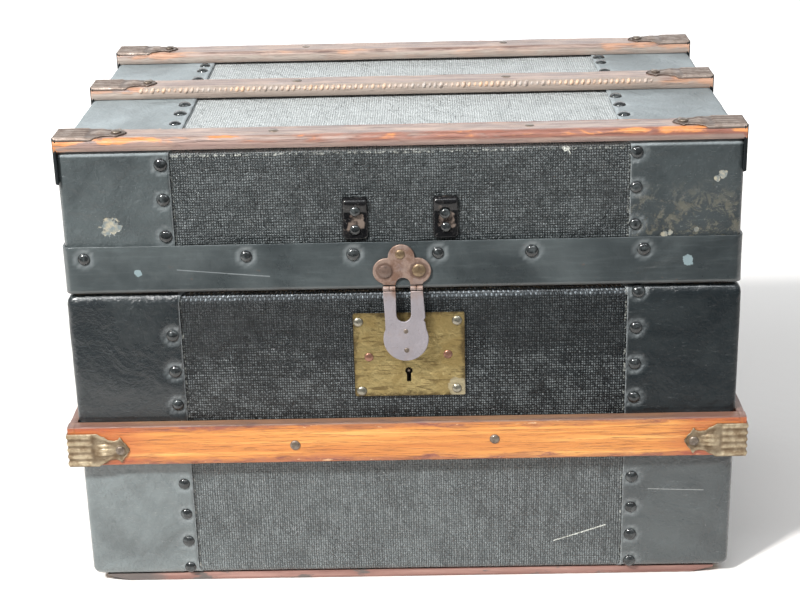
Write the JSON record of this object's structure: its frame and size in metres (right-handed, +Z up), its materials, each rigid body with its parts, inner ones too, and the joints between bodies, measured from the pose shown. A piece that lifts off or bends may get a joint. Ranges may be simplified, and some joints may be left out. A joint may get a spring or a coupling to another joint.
{
  "type": "steamer trunk",
  "caption": "Small flat-topped steamer trunk: canvas-covered wooden case with a hinged lid, wooden slats, metal corner clamps, rim band and a hasp lock.",
  "frame": {"origin": "on the floor, under the middle of the case, on the underside of the middle runner", "axes": "+X along the trunk's length, -Y towards the front with the lock, +Z up"},
  "size_m": [0.4228, 0.269, 0.2991],
  "materials": {
    "pine": "bare sawn pine",
    "canvas": "black painted canvas, semi-gloss",
    "fibre": "black painted vulcanised fibre, semi-gloss",
    "black_steel": "black japanned sheet steel, worn",
    "oak": "varnished oak, worn",
    "painted_oak": "oak with thin red-brown paint, worn",
    "stamped_steel": "stamped sheet steel with dull plating",
    "brass": "aged brass",
    "rusty_steel": "stamped steel with light rust",
    "plain_steel": "dull bare steel",
    "paper": "aged lining paper"
  },
  "bodies": {
    "case": {"case_back_board": "pine", "case_bottom_board": "pine", "case_canvas": "canvas", "case_corner_back_left": "fibre", "case_corner_back_right": "fibre", "case_corner_front_left": "fibre", "case_corner_front_right": "fibre", "case_front_board": "pine", "case_left_board": "pine", "case_lining": "paper", "case_right_board": "pine", "case_slat_back": "oak", "case_slat_front": "oak", "case_slat_left": "oak", "case_slat_right": "oak", "hinge_case_leaf_left": "black_steel", "hinge_case_leaf_right": "black_steel", "hinge_pin_left": "plain_steel", "hinge_pin_right": "plain_steel", "lock_case": "plain_steel", "lock_plate": "brass", "runner_back": "painted_oak", "runner_front": "painted_oak", "runner_middle": "painted_oak", "slat_corner_back_left": "brass", "slat_corner_back_right": "brass", "slat_corner_front_left": "brass", "slat_corner_front_right": "brass"},
    "lid": {"handle_tab_left": "black_steel", "handle_tab_right": "black_steel", "hasp_pin_left": "plain_steel", "hasp_pin_right": "plain_steel", "hasp_plate": "rusty_steel", "hasp_rivet_left": "plain_steel", "hasp_rivet_right": "plain_steel", "hasp_rivet_top": "plain_steel", "hinge_lid_leaf_left": "black_steel", "hinge_lid_leaf_right": "black_steel", "lid_back_board": "pine", "lid_canvas": "canvas", "lid_clamp_back_left": "stamped_steel", "lid_clamp_back_right": "stamped_steel", "lid_clamp_front_left": "stamped_steel", "lid_clamp_front_right": "stamped_steel", "lid_clamp_middle_left": "stamped_steel", "lid_clamp_middle_right": "stamped_steel", "lid_end_band_left": "fibre", "lid_end_band_right": "fibre", "lid_front_board": "pine", "lid_left_board": "pine", "lid_lining": "paper", "lid_right_board": "pine", "lid_rim_band": "black_steel", "lid_slat_back": "oak", "lid_slat_front": "oak", "lid_slat_middle": "oak", "lid_top_board": "pine"},
    "hasp": {"hasp_tongue": "rusty_steel", "hasp_staple": "plain_steel"},
    "lock_bolt": {"lock_bolt": "plain_steel"}
  },
  "joints": [
    {"name": "lid_hinge", "type": "hinge", "parent": "case", "child": "lid", "pos_m": [0, 0.1277, 0.201], "axis": [-1, 0, 0], "range_deg": [0, 100]},
    {"name": "hasp_hinge", "type": "hinge", "parent": "lid", "child": "hasp", "pos_m": [0, -0.1274, 0.202], "axis": [-1, 0, 0], "range_deg": [-9, 160]},
    {"name": "bolt_slide", "type": "slide", "parent": "case", "child": "lock_bolt", "axis": [1, 0, 0], "range_m": [0, 0.006]}
  ]
}
